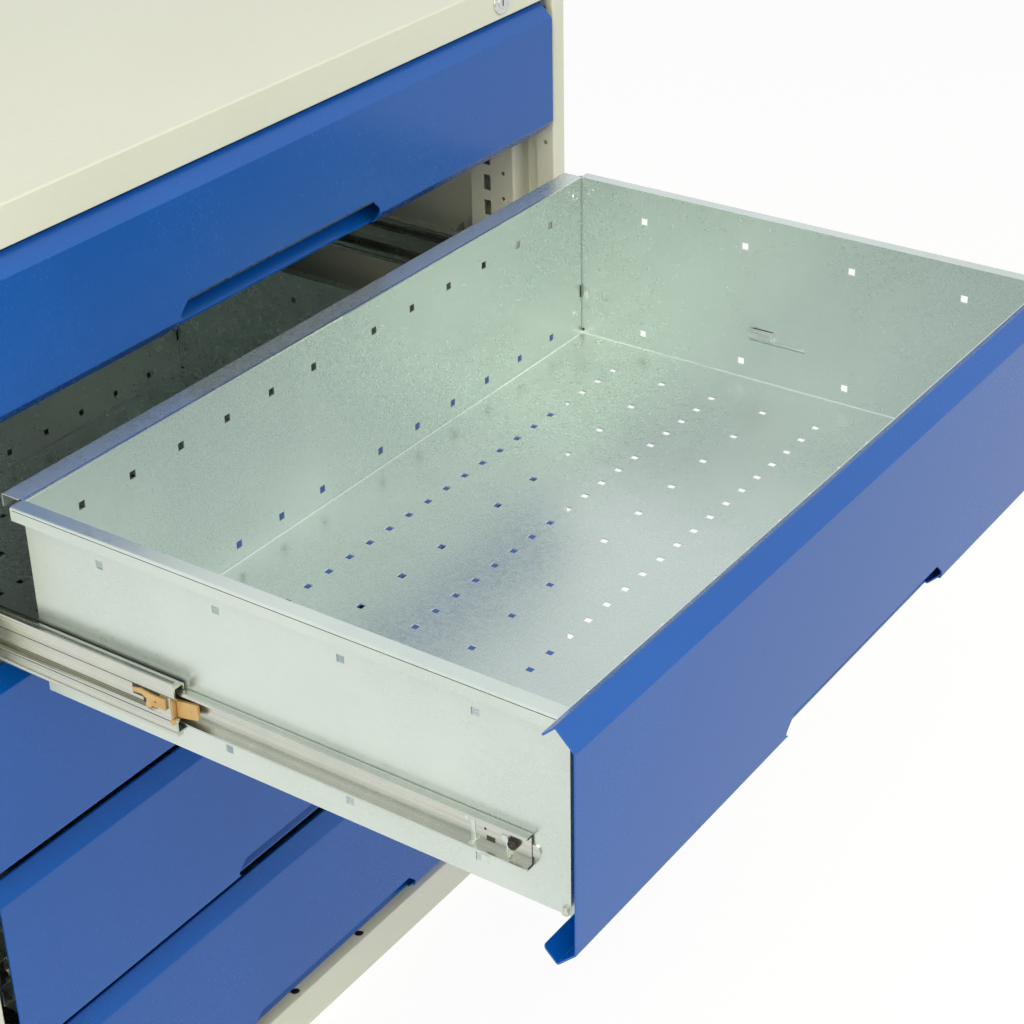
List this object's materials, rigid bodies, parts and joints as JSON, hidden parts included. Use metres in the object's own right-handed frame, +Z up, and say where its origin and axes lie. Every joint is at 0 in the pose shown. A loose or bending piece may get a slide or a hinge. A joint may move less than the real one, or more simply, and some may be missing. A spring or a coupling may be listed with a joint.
{
  "type": "drawer cabinet",
  "caption": "Free-standing sheet-steel workshop cabinet with a lockable stack of full-extension drawers, perforated trays and folded fronts with finger notches.",
  "frame": {"origin": "on the floor below the middle of the carcass, on the underside of the base's middle rail", "axes": "+Z up, -Y towards the user (the drawers open along -Y), +X to the right as seen from the front"},
  "size_m": [0.8, 1.0669, 0.9],
  "materials": {
    "carcass_paint": "fine satin powder coat, light grey",
    "front_paint": "fine satin powder coat, blue",
    "galvanised": "hot-dip galvanised, soft cloudy sheen",
    "zinc_plate": "bright zinc plate",
    "nickel": "satin nickel plate",
    "lever_plastic": "moulded, light orange tan",
    "bumper_rubber": "black rubber"
  },
  "bodies": {
    "carcass": {"side_panel_left": "carcass_paint", "side_panel_right": "carcass_paint", "back_panel": "carcass_paint", "top_panel": "carcass_paint", "base_rail_front": "carcass_paint", "base_rail_middle": "carcass_paint", "base_rail_rear": "carcass_paint", "floor_panel": "carcass_paint", "rack_uprights_front": "carcass_paint", "rack_uprights_rear": "carcass_paint", "back_panel_rivets": "zinc_plate", "lock_housing": "nickel", "drawer1_cabinet_rails": "zinc_plate", "drawer2_cabinet_rails": "zinc_plate", "drawer3_cabinet_rails": "zinc_plate", "drawer4_cabinet_rails": "zinc_plate", "drawer5_cabinet_rails": "zinc_plate"},
    "lock": {"lock_barrel": "nickel", "lock_cam": "zinc_plate"},
    "drawer1": {"drawer1_tray": "galvanised", "drawer1_front": "front_paint", "drawer1_front_brackets": "galvanised", "drawer1_inner_rails": "zinc_plate", "drawer1_bumpers": "bumper_rubber"},
    "drawer1_mid": {"drawer1_mid_rails": "zinc_plate"},
    "drawer1_lever_left_body": {"drawer1_lever_left": "lever_plastic"},
    "drawer1_lever_right_body": {"drawer1_lever_right": "lever_plastic"},
    "drawer2": {"drawer2_tray": "galvanised", "drawer2_front": "front_paint", "drawer2_front_brackets": "galvanised", "drawer2_inner_rails": "zinc_plate", "drawer2_bumpers": "bumper_rubber"},
    "drawer2_mid": {"drawer2_mid_rails": "zinc_plate"},
    "drawer2_lever_left_body": {"drawer2_lever_left": "lever_plastic"},
    "drawer2_lever_right_body": {"drawer2_lever_right": "lever_plastic"},
    "drawer3": {"drawer3_tray": "galvanised", "drawer3_front": "front_paint", "drawer3_front_brackets": "galvanised", "drawer3_inner_rails": "zinc_plate", "drawer3_bumpers": "bumper_rubber"},
    "drawer3_mid": {"drawer3_mid_rails": "zinc_plate"},
    "drawer3_lever_left_body": {"drawer3_lever_left": "lever_plastic"},
    "drawer3_lever_right_body": {"drawer3_lever_right": "lever_plastic"},
    "drawer4": {"drawer4_tray": "galvanised", "drawer4_front": "front_paint", "drawer4_front_brackets": "galvanised", "drawer4_inner_rails": "zinc_plate", "drawer4_bumpers": "bumper_rubber"},
    "drawer4_mid": {"drawer4_mid_rails": "zinc_plate"},
    "drawer4_lever_left_body": {"drawer4_lever_left": "lever_plastic"},
    "drawer4_lever_right_body": {"drawer4_lever_right": "lever_plastic"},
    "drawer5": {"drawer5_tray": "galvanised", "drawer5_front": "front_paint", "drawer5_front_brackets": "galvanised", "drawer5_inner_rails": "zinc_plate", "drawer5_bumpers": "bumper_rubber"},
    "drawer5_mid": {"drawer5_mid_rails": "zinc_plate"},
    "drawer5_lever_left_body": {"drawer5_lever_left": "lever_plastic"},
    "drawer5_lever_right_body": {"drawer5_lever_right": "lever_plastic"}
  },
  "joints": [
    {"name": "lock_turn", "type": "hinge", "parent": "carcass", "child": "lock", "pos_m": [0.303, -0.275, 0.885], "axis": [0, 1, 0], "range_deg": [0, 90]},
    {"name": "drawer1_slide", "type": "slide", "parent": "carcass", "child": "drawer1", "axis": [0, -1, 0], "range_m": [0, 0.51]},
    {"name": "drawer1_mid_slide", "type": "slide", "parent": "carcass", "child": "drawer1_mid", "axis": [0, -1, 0], "range_m": [0, 0.255]},
    {"name": "drawer1_lever_left_tilt", "type": "hinge", "parent": "drawer1_mid", "child": "drawer1_lever_left_body", "pos_m": [-0.347, -0.191, 0.7907], "axis": [1, 0, 0], "range_deg": [-3, 3], "stiffness_Nm_per_rad": 0.05},
    {"name": "drawer1_lever_right_tilt", "type": "hinge", "parent": "drawer1_mid", "child": "drawer1_lever_right_body", "pos_m": [0.347, -0.191, 0.7907], "axis": [1, 0, 0], "range_deg": [-3, 3], "stiffness_Nm_per_rad": 0.05},
    {"name": "drawer2_slide", "type": "slide", "parent": "carcass", "child": "drawer2", "axis": [0, -1, 0], "range_m": [-0.51, 0]},
    {"name": "drawer2_mid_slide", "type": "slide", "parent": "carcass", "child": "drawer2_mid", "axis": [0, -1, 0], "range_m": [-0.255, 0]},
    {"name": "drawer2_lever_left_tilt", "type": "hinge", "parent": "drawer2_mid", "child": "drawer2_lever_left_body", "pos_m": [-0.347, -0.446, 0.6157], "axis": [1, 0, 0], "range_deg": [-3, 3], "stiffness_Nm_per_rad": 0.05},
    {"name": "drawer2_lever_right_tilt", "type": "hinge", "parent": "drawer2_mid", "child": "drawer2_lever_right_body", "pos_m": [0.347, -0.446, 0.6157], "axis": [1, 0, 0], "range_deg": [-3, 3], "stiffness_Nm_per_rad": 0.05},
    {"name": "drawer3_slide", "type": "slide", "parent": "carcass", "child": "drawer3", "axis": [0, -1, 0], "range_m": [0, 0.51]},
    {"name": "drawer3_mid_slide", "type": "slide", "parent": "carcass", "child": "drawer3_mid", "axis": [0, -1, 0], "range_m": [0, 0.255]},
    {"name": "drawer3_lever_left_tilt", "type": "hinge", "parent": "drawer3_mid", "child": "drawer3_lever_left_body", "pos_m": [-0.347, -0.191, 0.4407], "axis": [1, 0, 0], "range_deg": [-3, 3], "stiffness_Nm_per_rad": 0.05},
    {"name": "drawer3_lever_right_tilt", "type": "hinge", "parent": "drawer3_mid", "child": "drawer3_lever_right_body", "pos_m": [0.347, -0.191, 0.4407], "axis": [1, 0, 0], "range_deg": [-3, 3], "stiffness_Nm_per_rad": 0.05},
    {"name": "drawer4_slide", "type": "slide", "parent": "carcass", "child": "drawer4", "axis": [0, -1, 0], "range_m": [0, 0.51]},
    {"name": "drawer4_mid_slide", "type": "slide", "parent": "carcass", "child": "drawer4_mid", "axis": [0, -1, 0], "range_m": [0, 0.255]},
    {"name": "drawer4_lever_left_tilt", "type": "hinge", "parent": "drawer4_mid", "child": "drawer4_lever_left_body", "pos_m": [-0.347, -0.191, 0.2657], "axis": [1, 0, 0], "range_deg": [-3, 3], "stiffness_Nm_per_rad": 0.05},
    {"name": "drawer4_lever_right_tilt", "type": "hinge", "parent": "drawer4_mid", "child": "drawer4_lever_right_body", "pos_m": [0.347, -0.191, 0.2657], "axis": [1, 0, 0], "range_deg": [-3, 3], "stiffness_Nm_per_rad": 0.05},
    {"name": "drawer5_slide", "type": "slide", "parent": "carcass", "child": "drawer5", "axis": [0, -1, 0], "range_m": [0, 0.51]},
    {"name": "drawer5_mid_slide", "type": "slide", "parent": "carcass", "child": "drawer5_mid", "axis": [0, -1, 0], "range_m": [0, 0.255]},
    {"name": "drawer5_lever_left_tilt", "type": "hinge", "parent": "drawer5_mid", "child": "drawer5_lever_left_body", "pos_m": [-0.347, -0.191, 0.0907], "axis": [1, 0, 0], "range_deg": [-3, 3], "stiffness_Nm_per_rad": 0.05},
    {"name": "drawer5_lever_right_tilt", "type": "hinge", "parent": "drawer5_mid", "child": "drawer5_lever_right_body", "pos_m": [0.347, -0.191, 0.0907], "axis": [1, 0, 0], "range_deg": [-3, 3], "stiffness_Nm_per_rad": 0.05}
  ],
  "couplings": [
    {"joint": "drawer1_mid_slide", "follows": "drawer1_slide", "ratio": 0.5},
    {"joint": "drawer2_mid_slide", "follows": "drawer2_slide", "ratio": 0.5},
    {"joint": "drawer3_mid_slide", "follows": "drawer3_slide", "ratio": 0.5},
    {"joint": "drawer4_mid_slide", "follows": "drawer4_slide", "ratio": 0.5},
    {"joint": "drawer5_mid_slide", "follows": "drawer5_slide", "ratio": 0.5}
  ]
}
